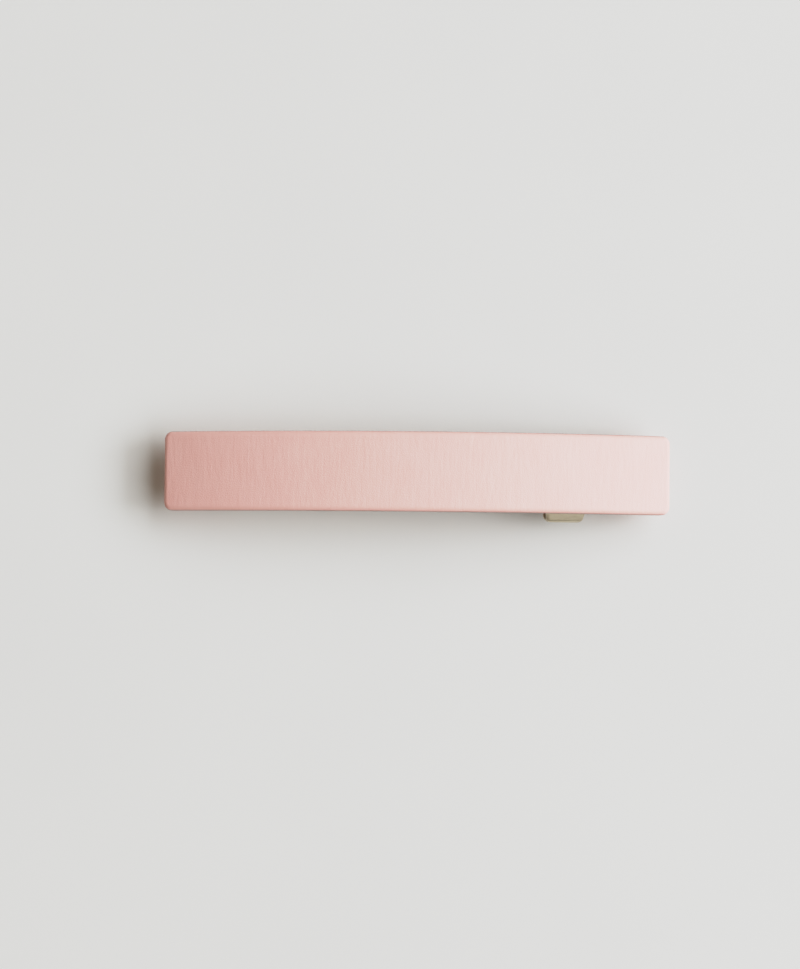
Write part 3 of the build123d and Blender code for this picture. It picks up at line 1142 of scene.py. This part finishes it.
@dataclass(frozen=True)
class BentSheet:
    """A piece of sheet metal: stamped flat, then laid along its path."""

    arch: Arch = Arch()
    name: str = "sheet"
    node: str = "sheet"
    body: Body = Body.BAR
    thickness: float = 0.7 * MM
    edge: float = 0.06 * MM
    bend_step: float = math.radians(5)
    run_step: float = 1.0 * MM

    def path(self) -> list[Vector]:
        """Points along the line that the middle of the sheet follows."""
        raise NotImplementedError

    def loops(self, run: float) -> list[list[Vector]]:
        """The flat outline and then each hole's, for a path of this length."""
        raise NotImplementedError

    def across(self) -> Vector:
        """The direction across the sheet."""
        return Vector((0.0, 1.0, 0.0))

    def relief(self, mesh: bpy.types.Mesh, run: float) -> None:
        """Shapes the flat sheet through its thickness, where it isn't even."""

    def trim(self, obj: bpy.types.Object) -> None:
        """Finishes the bent sheet's shape."""

    def cuts(self, path: Sequence[Vector]) -> list[float]:
        """Places along the sheet where it has turned by a bend step or run on by a run step.

        Args:
            path: the line that it follows.

        Returns:
            Lengths from the start.
        """
        found, run, turned, last = [], 0.0, 0.0, 0.0
        for a, b, c in zip(path, path[1:], path[2:]):
            run += (b - a).length
            turned += (b - a).angle(c - b)
            if turned > self.bend_step or run - last > self.run_step:
                found.append(run)
                turned, last = 0.0, run
        return found

    def build(self, trees: Trees, finish: bpy.types.Material) -> bpy.types.Object:
        """Makes the piece.

        Args:
            trees: the shared geometry trees.
            finish: its plated steel.

        Returns:
            The piece, settled on its body.
        """
        path = self.path()
        run = length_of(path)
        mesh = FlatSheet(self.loops(run), self.thickness, self.edge).mesh(self.name, self.cuts(path))
        self.relief(mesh, run)
        obj = linked(self.name, mesh)
        line = line_object(f"{self.name}_path", path)
        grow(obj, trees.sheet, {"Path": line, "Across": self.across(), "Finish": finish})
        bpy.data.objects.remove(line)
        self.trim(obj)
        facing_out(obj, crease=40.0)
        obj.modifiers.new("even_shading", "WEIGHTED_NORMAL").keep_sharp = True
        return settle(obj, self.body, Slot.STEEL, self.node)


@dataclass(frozen=True)
class ArchedPlate(BentSheet):
    """The plate that the strip is glued on, with the two lugs that hold the hinge pin."""

    name: str = "arched_plate"
    node: str = "base_plate"
    edge: float = 0.12 * MM
    length: float = 70.0 * MM
    width: float = 7.5 * MM
    corner: float = 2.4 * MM
    steps: int = 280
    sewing_hole: float = 0.75 * MM
    sewing_inset: float = 2.0 * MM
    rivet_places: Triple = (-24.6 * MM, 22.5 * MM, 25.9 * MM)
    lug_radius: float = 2.0 * MM
    lug_thickness: float = 0.7 * MM
    lug_edge: float = 0.07 * MM
    lug_inset: float = 0.012 * MM
    lug_steps: int = 30

    def path(self) -> list[Vector]:
        """Points along the middle of the plate's sheet, which is measured along its underside."""
        places = [self.length * (i / self.steps - 0.5) for i in range(self.steps + 1)]
        return [self.arch.point(place, -self.thickness / 2) for place in places]

    def loops(self, run: float) -> list[list[Vector]]:
        """The outline, the sewing holes and the rivet holes.

        Args:
            run: the path's length.

        Returns:
            The points of each.
        """
        front, stretch = -self.width / 2, run / self.length
        outline = mirrored_loop([(0.0, front, self.corner), (run, front, self.corner)])
        sewing = [(at, self.sewing_hole) for at in (self.sewing_inset, self.length - self.sewing_inset)]
        rivets = [(at + self.length / 2, self.arch.pin_hole) for at in self.rivet_places]
        return [outline, *(circle(at * stretch, 0.0, radius) for at, radius in sewing + rivets)]

    def lug(self, side: int) -> bpy.types.Object:
        """Makes a lug, which stands square under one long edge of the plate.

        Args:
            side: -1 for the front one, 1 for the far one.

        Returns:
            The lug's object.
        """
        r, top = self.lug_radius, self.arch.pin_depth + self.thickness / 2
        turns = [math.pi * (1 + i / self.lug_steps) for i in range(self.lug_steps + 1)]
        arc = [Vector((r * math.cos(t), r * math.sin(t), 0.0)) for t in turns]
        outline = [*arc, Vector((r, top, 0.0)), Vector((-r, top, 0.0))]
        hole = circle(0.0, 0.0, self.arch.pin_hole)
        mesh = FlatSheet([outline, hole], self.lug_thickness, self.lug_edge).mesh("lug")
        ahead, up = self.arch.ahead(self.arch.pin_place), self.arch.up(self.arch.pin_place)
        middle = self.arch.pin()
        middle.y += side * ((self.width - self.lug_thickness) / 2 - self.lug_inset)
        axes = Matrix((ahead, up, ahead.cross(up))).transposed().to_4x4()
        mesh.transform(Matrix.Translation(middle) @ axes)
        return linked("lug", mesh)

    def trim(self, obj: bpy.types.Object) -> None:
        """Joins the lugs to the plate.

        Args:
            obj: the bent plate.
        """
        finish = obj.data.materials[0]
        for side in (-1, 1):
            lug = self.lug(side)
            union = obj.modifiers.new("union", "BOOLEAN")
            union.operation = "UNION"
            union.solver = "EXACT"
            union.object = lug
            joined = evaluated(obj)
            obj.modifiers.remove(union)
            obj.data = joined
            joined.materials.clear()
            joined.materials.append(finish)
            for face in joined.polygons:
                face.material_index = 0
            bpy.data.objects.remove(lug)


@dataclass(frozen=True)
class PressureLeaf(BentSheet):
    """The thin leaf under the plate: a pad on the plate, then a bow whose tip bears on it."""

    name: str = "pressure_leaf"
    node: str = "tension_leaf"
    thickness: float = 0.35 * MM
    edge: float = 0.05 * MM
    start: float = -26.8 * MM
    pad: float = 4.4 * MM
    pad_steps: int = 20
    tip: float = 19.6 * MM
    width: float = 4.2 * MM
    bow: float = 0.45 * MM
    bow_steps: int = 120
    bend: float = 6.0 * MM
    bend_room: float = 1.1
    end_round: float = 1.2 * MM
    seat_gap: float = 0.02 * MM
    tip_gap: float = 0.05 * MM

    def path(self) -> list[Vector]:
        """Points along the middle of the leaf's sheet.

        Returns:
            The points, from the pad's end to the tip.
        """
        half = self.thickness / 2
        places = [self.start + self.pad * i / self.pad_steps for i in range(self.pad_steps + 1)]
        pad = [self.arch.point(place, self.seat_gap + half) for place in places]
        corner, tip = pad[-1], self.arch.point(self.tip, self.tip_gap + half)
        chord = tip - corner
        rise = Vector((-chord.z, 0.0, chord.x)).normalized() * (4 * self.bow)  # t * (1 - t) peaks at 1/4
        parts = [i / self.bow_steps for i in range(self.bow_steps + 1)]
        bow = [corner + chord * t + rise * (t * (1 - t)) for t in parts]
        eased = eased_corner(pad[-2], corner, bow[1], self.bend)
        reach = (eased[0] - corner).length * self.bend_room
        return clear_of(corner, reach, pad) + eased + clear_of(corner, reach, bow)

    def loops(self, run: float) -> list[list[Vector]]:
        """The outline and the rivet hole in the pad."""
        ends = [(along, -self.width / 2, self.end_round) for along in (0.0, run)]
        return [mirrored_loop(ends), circle(self.pad / 2, 0.0, self.arch.pin_hole)]


@dataclass(frozen=True)
class ClosingArm(BentSheet):
    """The arm: a strip curled round the pin, with a paddle and a window at its free end.

    Its curl's turn and its slope are degrees.
    """

    name: str = "closing_arm"
    node: str = "arm"
    body: Body = Body.ARM
    curl_radius: float = 1.0 * MM
    curl_turn: float = 278.0
    curl_steps: int = 90
    slope: float = 4.0
    run_steps: int = 160
    bend: float = 9.0 * MM
    bend_room: float = 1.05
    paddle_depth: float = 5.5715 * MM
    paddle_back: float = 6.5 * MM
    paddle_front: float = 4.7 * MM
    paddle_rear: float = 4.7 * MM
    paddle_steps: int = 30
    width: float = 5.6 * MM
    paddle_width: float = 7.9 * MM
    paddle_corner: float = 1.6 * MM
    throat: float = 0.5 * MM
    window: Range = (5.8 * MM, 4.7 * MM)
    window_corner: float = 0.5 * MM

    def path(self) -> list[Vector]:
        """Points along the middle of the arm's sheet.

        Returns:
            The points, from the end of its curl to its tip.
        """
        slope, leave = math.radians(self.slope), math.radians(self.slope - 90)
        turn, count = math.radians(self.curl_turn), self.curl_steps
        turns = [leave - turn * (1 - i / count) for i in range(count + 1)]
        spokes = [Vector((math.cos(t), 0.0, math.sin(t))) for t in turns]
        curl = [self.arch.pin() + spoke * self.curl_radius for spoke in spokes]
        ahead = Vector((math.cos(slope), 0.0, math.sin(slope)))
        ends = (-self.paddle_back, self.paddle_front)
        knee, tip = (self.arch.point(self.arch.catch_place, self.paddle_depth, end) for end in ends)
        run = tangent_arc(curl[-1], ahead, knee, self.run_steps)
        eased = eased_corner(run[-2], knee, tip, self.bend)
        reach = (eased[0] - knee).length * self.bend_room
        paddle = [eased[-1].lerp(tip, (i + 1) / self.paddle_steps) for i in range(self.paddle_steps)]
        return curl + clear_of(knee, reach, run[1:]) + eased + paddle

    def loops(self, run: float) -> list[list[Vector]]:
        """The outline and the window that the catch's prongs come through.

        Args:
            run: the path's length.

        Returns:
            The points of each.
        """
        half, wide, throat = self.width / 2, self.paddle_width / 2, self.throat
        rear = run - self.paddle_front - self.paddle_rear
        side = [(0.0, half, 0.0), (rear, half, throat), (rear, wide, throat), (run, wide, self.paddle_corner)]
        middle, corner = run - self.paddle_front, self.window_corner
        half_x, front = self.window[0] / 2, -self.window[1] / 2
        window = [(middle - half_x, front, corner), (middle + half_x, front, corner)]
        return [mirrored_loop(side), mirrored_loop(window)]


@dataclass(frozen=True)
class SqueezeCatch(BentSheet):
    """The spring catch: a web under the plate, a folded squeeze tab on each side, and two hooked prongs."""

    name: str = "squeeze_catch"
    node: str = "catch"
    thickness: float = 0.5 * MM
    edge: float = 0.06 * MM
    length: float = 6.4 * MM
    bend: float = 0.55 * MM
    fine_step: float = 0.25 * MM
    seat: float = 0.0645 * MM
    tab_reach: float = 6.8 * MM
    tab_corner: float = 1.1 * MM
    wing_root: float = 2.9 * MM
    wing_drop: float = 1.75 * MM
    tab_gap: float = 0.95 * MM
    tab_slope: float = 0.45 * MM
    prong_length: float = 5.0 * MM
    prong_reach: float = 2.2 * MM
    prong_drop: float = 6.8415 * MM
    prong_corner: float = 0.8 * MM
    shoulder: float = 0.3 * MM
    hook_reach: float = 0.45 * MM
    hook_height: float = 0.8 * MM
    hook_land: float = 0.2 * MM
    hook_step: float = 0.03 * MM
    slack: float = 0.001 * MM
    rivets: Range = (-1.7 * MM, 1.7 * MM)

    def across(self) -> Vector:
        """The direction across the sheet: back along the plate, so that its upper side is outside."""
        return -self.arch.ahead(self.arch.catch_place)

    def path(self) -> list[Vector]:
        """Points along the middle of the sheet.

        Returns:
            The points, from the front prong's end to the far one's.
        """
        half = self.thickness / 2
        web = -self.seat - half
        fold, prong = self.tab_reach - half, self.prong_reach - half
        lower = web - self.wing_drop - self.tab_gap
        section = [
            (self.wing_root, web),
            (fold, web - self.wing_drop),
            (fold, lower),
            (prong, lower - self.tab_slope),
            (prong, -self.prong_drop),
        ]
        origin, up = self.arch.point(self.arch.catch_place), self.arch.up(self.arch.catch_place)
        whole = [(-y, height) for y, height in reversed(section)] + section
        corners = [origin + Vector((0.0, y, 0.0)) + up * height for y, height in whole]
        rough = eased_line([(corner, self.bend) for corner in corners], closed=False)
        fine: list[Vector] = []
        for a, b in zip(rough, rough[1:]):
            count = max(1, math.ceil((b - a).length / self.fine_step))
            fine += [a.lerp(b, i / count) for i in range(count)]
        return fine + [rough[-1]]

    def loops(self, run: float) -> list[list[Vector]]:
        """The outline and the rivet holes in the web.

        Args:
            run: the path's length.

        Returns:
            The points of each.
        """
        prong, wide, shoulder = self.prong_length / 2, self.length / 2, self.shoulder
        step = self.prong_drop - self.seat - self.thickness - self.wing_drop - self.tab_gap - self.tab_slope
        side = [
            (0.0, prong, self.prong_corner),
            (step, prong, shoulder),
            (step, wide, shoulder),
            (run - step, wide, shoulder),
            (run - step, prong, shoulder),
            (run, prong, self.prong_corner),
        ]
        return [mirrored_loop(side), *(circle(run / 2, at, self.arch.pin_hole) for at in self.rivets)]

    def cuts(self, path: Sequence[Vector]) -> list[float]:
        """The bending places, and those that the hooks need at both ends.

        Args:
            path: the line that the sheet follows.

        Returns:
            Lengths from the start.
        """
        run, height = length_of(path), self.hook_height
        hook = [height - self.hook_land, height, height + self.hook_step]
        return [*super().cuts(path), *hook, *(run - at for at in hook)]

    def relief(self, mesh: bpy.types.Mesh, run: float) -> None:
        """Raises the hooks on the outside of the prongs' ends.

        Args:
            mesh: the flat sheet.
            run: the path's length.
        """
        for vert in mesh.vertices:
            end = min(vert.co.x, run - vert.co.x)
            if vert.co.z > 0.0 and end <= self.hook_height + self.slack:
                vert.co.z += self.hook_reach * min(1.0, end / (self.hook_height - self.hook_land))

    def trim(self, obj: bpy.types.Object) -> None:
        """Rounds the tabs' corners, as seen from above.

        Args:
            obj: the bent catch.
        """
        place, wide = self.arch.catch_place, self.length / 2
        origin, ahead = self.arch.point(place), self.arch.ahead(place)
        for vert in obj.data.vertices:
            out = abs(vert.co.y - origin.y) - (self.tab_reach - self.tab_corner)
            if out > 0.0:
                reach = wide - self.tab_corner + math.sqrt(max(self.tab_corner**2 - out**2, 0.0))
                along = (vert.co - origin).dot(ahead)
                vert.co -= ahead * (along * (1 - reach / wide))


@dataclass(frozen=True)
class LeatherStrip:
    """The leather strip, bent over the clip's arch."""

    length: float = 83.0 * MM
    width: float = 12.7 * MM
    thickness: float = 2.6 * MM
    corner_radius: float = 1.3 * MM
    upper_round: float = 0.8 * MM
    under_round: float = 0.3 * MM
    steps_along: int = 540
    steps_across: int = 44
    steps_through: int = 12
    sway_depth: float = 0.06 * MM
    sway_size: float = 8.0 * MM
    crease_depth: float = 0.012 * MM
    crease_spacing: float = 0.8 * MM
    seed: float = 3.0
    arch: Arch = Arch()
    height: float = 3.32 * MM
    set_back: float = 0.8 * MM
    path_spare: float = 1.0 * MM
    path_steps: int = 240

    def path(self) -> list[Vector]:
        """Points along the arch, at the strip's upper face.

        Returns:
            The points, a little further on than the strip at both ends.
        """
        half = (self.length / 2 + self.path_spare) * self.arch.radius / (self.arch.radius + self.height)
        places = [half * (i / (self.path_steps / 2) - 1) for i in range(self.path_steps + 1)]
        aside = Vector((0.0, self.set_back, 0.0))
        return [self.arch.point(place, -self.height) + aside for place in places]

    def build(self, trees: Trees, finish: bpy.types.Material) -> bpy.types.Object:
        """Makes the strip.

        Args:
            trees: the shared geometry trees.
            finish: the leather.

        Returns:
            The piece, settled on the bar.
        """
        line = line_object("leather_strip", self.path())
        strip = grow(line, trees.strip, {**sizes_of(self), "Finish": finish})
        return settle(strip, Body.BAR, Slot.LEATHER, "leather_bar")


@dataclass(frozen=True)
class RivetRow:
    """Rivets through the plate, in a row along it."""

    name: str
    nodes: tuple[str, ...]
    first_place: float
    grip: float
    step: float = 3.4 * MM
    shank_radius: float = 0.6 * MM
    head_radius: float = 1.1 * MM
    dome_height: float = 0.45 * MM
    plate_thickness: float = 0.7 * MM
    arch: Arch = Arch()
    fit: float = 0.02 * MM
    seed: int = 5

    def build(self, trees: Trees, finish: bpy.types.Material) -> bpy.types.Object:
        """Makes the rivets as one piece.

        Args:
            trees: the shared geometry trees.
            finish: their plated steel.

        Returns:
            The piece, settled on the bar.
        """
        seat = self.grip + self.fit
        sizes = {
            **sizes_of(self),
            "Count": len(self.nodes),
            "Bend Radius": self.arch.radius,
            "Bend Centre": (0.0, self.arch.middle_line, self.arch.centre),
            "Seat Depth": seat,
            "Shank Length": seat + self.plate_thickness,
            "Finish": finish,
        }
        rivets = grow(line_object(self.name), trees.rivet_row, sizes)
        return settle(facing_out(rivets), Body.BAR, Slot.STEEL, *self.nodes)


@dataclass(frozen=True)
class HingePin:
    """The pin through the lugs, with peened heads."""

    arch: Arch = Arch()
    grip: float = 7.54 * MM
    shank_radius: float = 0.6 * MM
    head_radius: float = 1.0 * MM
    dome_height: float = 0.2 * MM
    rim_height: float = 0.15 * MM

    def build(self, trees: Trees, finish: bpy.types.Material) -> bpy.types.Object:
        """Makes the pin.

        Args:
            trees: the shared geometry trees.
            finish: its plated steel.

        Returns:
            The piece, settled on the bar.
        """
        sizes = {**sizes_of(self), "Middle": self.arch.pin(), "Finish": finish}
        pin = grow(line_object("pin_piece"), trees.cross_pin, sizes)
        return settle(facing_out(pin), Body.BAR, Slot.STEEL, "hinge_pin")


@dataclass(frozen=True)
class MetalClip:
    """The sprung clip: plate, arm, catch, leaf, pin and rivets."""

    plate: ArchedPlate = ArchedPlate()
    arm: ClosingArm = ClosingArm()
    catch: SqueezeCatch = SqueezeCatch()
    leaf: PressureLeaf = PressureLeaf()
    pin: HingePin = HingePin()
    catch_rivets: RivetRow = RivetRow(
        "catch_rivet_pair", ("catch_rivet_1", "catch_rivet_2"), first_place=22.5 * MM, grip=0.5645 * MM
    )
    leaf_rivet: RivetRow = RivetRow(
        "leaf_rivet_piece", ("leaf_rivet",), first_place=-24.6 * MM, grip=0.37 * MM
    )

    def build(self, trees: Trees, effects: Effects) -> None:
        """Makes and dresses every metal piece.

        Args:
            trees: the shared geometry trees.
            effects: the shared shader groups.
        """
        along = PlatedSteel("plated_sheet", BrushWay.ALONG, seed=1.0).material(effects)
        across = PlatedSteel("plated_spring", BrushWay.ACROSS, seed=5.0).material(effects)
        turned = PlatedSteel("plated_wire", BrushWay.NONE, seed=9.0).material(effects)
        self.plate.build(trees, along)
        self.arm.build(trees, along)
        self.catch.build(trees, across)
        self.leaf.build(trees, along)
        for piece in (self.pin, self.catch_rivets, self.leaf_rivet):
            piece.build(trees, turned)


# Studio


@dataclass(frozen=True)
class Softbox:
    """A soft light that points at the clip. Azimuth 0 is +X and 90 is +Y."""

    name: str
    azimuth: float
    elevation: float
    width: float
    height: float
    watts: float
    distance: float = 1.8
    colour: Triple = (0.94, 0.98, 1.0)

    def build(self) -> None:
        """Makes the light."""
        light = bpy.data.lights.new(self.name, "AREA")
        light.shape = "RECTANGLE"
        light.size, light.size_y = self.width, self.height
        light.energy = self.watts
        light.color = self.colour
        turn, rise = math.radians(self.azimuth), math.radians(self.elevation)
        away = Vector((math.cos(turn) * math.cos(rise), math.sin(turn) * math.cos(rise), math.sin(rise)))
        obj = linked(self.name, light)
        obj.location = away * self.distance
        obj.rotation_euler = away.to_track_quat("Z", "Y").to_euler()


@dataclass(frozen=True)
class Studio:
    """Floor, lights and camera, as the photograph has them. A tone is a light level and how it shows."""

    floor_side: float = 2.4
    lights: tuple[Softbox, ...] = (
        Softbox("window_light", azimuth=7.0, elevation=47.0, width=3.3, height=1.45, watts=46.0),
        Softbox("low_window_light", azimuth=4.0, elevation=31.0, width=0.9, height=0.7, watts=17.0),
    )
    fill: float = 0.2
    fill_colour: Colour = (1.0, 0.80, 0.57, 1.0)
    backdrop: float = 0.75
    backdrop_colour: Colour = (0.98, 0.99, 1.0, 1.0)
    black: Range = (0.0, 0.0)
    tones: tuple[Range, ...] = (
        (0.1, 0.08), (0.2, 0.18), (0.3, 0.29), (0.45, 0.455), (0.6, 0.6),
        (0.75, 0.695), (0.9, 0.75), (1.1, 0.8), (1.5, 0.865),
    )
    white: Range = (2.0, 0.92)
    camera_distance: float = 0.45
    camera_elevation: float = 87.5
    camera_roll: float = 0.57
    picture_height: float = 154.8 * MM
    aim: Triple = (-2.72 * MM, -1.21 * MM, 6.0 * MM)
    sensor: float = 36.0
    clip: Range = (0.01, 10.0)

    def build(self, effects: Effects) -> None:
        """Makes the stage.

        Args:
            effects: the shared shader groups.
        """
        self._floor(PaleFloor().material(effects))
        for light in self.lights:
            light.build()
        self._sky()
        self._camera()
        self._tones()

    def _tones(self) -> None:
        """Sets the tones: straight up to the mid tones, then a soft shoulder, as on a faded print."""
        view = bpy.context.scene.view_settings
        view.view_transform = "Standard"
        view.look = "None"
        view.use_curve_mapping = True
        top, mapping = self.white[0], view.curve_mapping
        mapping.white_level = (top, top, top)
        mapping.extend = "HORIZONTAL"
        points = mapping.curves[3].points
        points[0].location = self.black
        points[-1].location = (1.0, self.white[1])
        for light, shown in self.tones:
            points.new(light / top, shown)
        mapping.update()

    def _floor(self, finish: bpy.types.Material) -> None:
        """Makes the floor.

        Args:
            finish: its material.
        """
        half = self.floor_side / 2
        corners = [(-half, -half, 0), (half, -half, 0), (half, half, 0), (-half, half, 0)]
        mesh = bpy.data.meshes.new("floor")
        mesh.from_pydata(corners, [], [(0, 1, 2, 3)])
        mesh.materials.append(finish)
        linked("floor", mesh)

    def _sky(self) -> None:
        """Makes the even light from all round, paler where the camera sees it."""
        world = bpy.data.worlds.new("soft_room")
        world.use_nodes = True
        bpy.context.scene.world = world
        w = Wiring(world.node_tree)
        seen = w.values("ShaderNodeLightPath")["Is Camera Ray"]
        strength = w.lerp(seen, self.fill, self.backdrop)
        colour = w.blend(seen, self.fill_colour, self.backdrop_colour)
        w.fill(world.node_tree.nodes["Background"], {"Strength": strength, "Color": colour})

    def _camera(self) -> None:
        """Makes the camera, which looks down almost upright from the front."""
        data = bpy.data.cameras.new("camera")
        data.sensor_width = self.sensor
        data.lens = self.sensor * self.camera_distance / self.picture_height
        data.clip_start, data.clip_end = self.clip
        rise = math.radians(self.camera_elevation)
        back = Vector((0.0, -math.cos(rise), math.sin(rise)))
        roll = Matrix.Rotation(math.radians(self.camera_roll), 4, "Z")
        turn = back.to_track_quat("Z", "Y").to_matrix().to_4x4() @ roll
        camera = linked("camera", data)
        camera.matrix_world = Matrix.Translation(Vector(self.aim) + back * self.camera_distance) @ turn
        bpy.context.scene.camera = camera


def main() -> None:
    """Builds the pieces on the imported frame, then the studio."""
    logging.basicConfig(level=logging.INFO, format="%(name)s: %(message)s")
    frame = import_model()
    LOG.info("packed frame: %d nodes", len(frame["nodes"]))
    trees = Trees()
    effects = Effects()
    LeatherStrip().build(trees, DyedLeather().material(effects))
    MetalClip().build(trees, effects)
    Studio().build(effects)


if __name__ == "__main__":
    main()
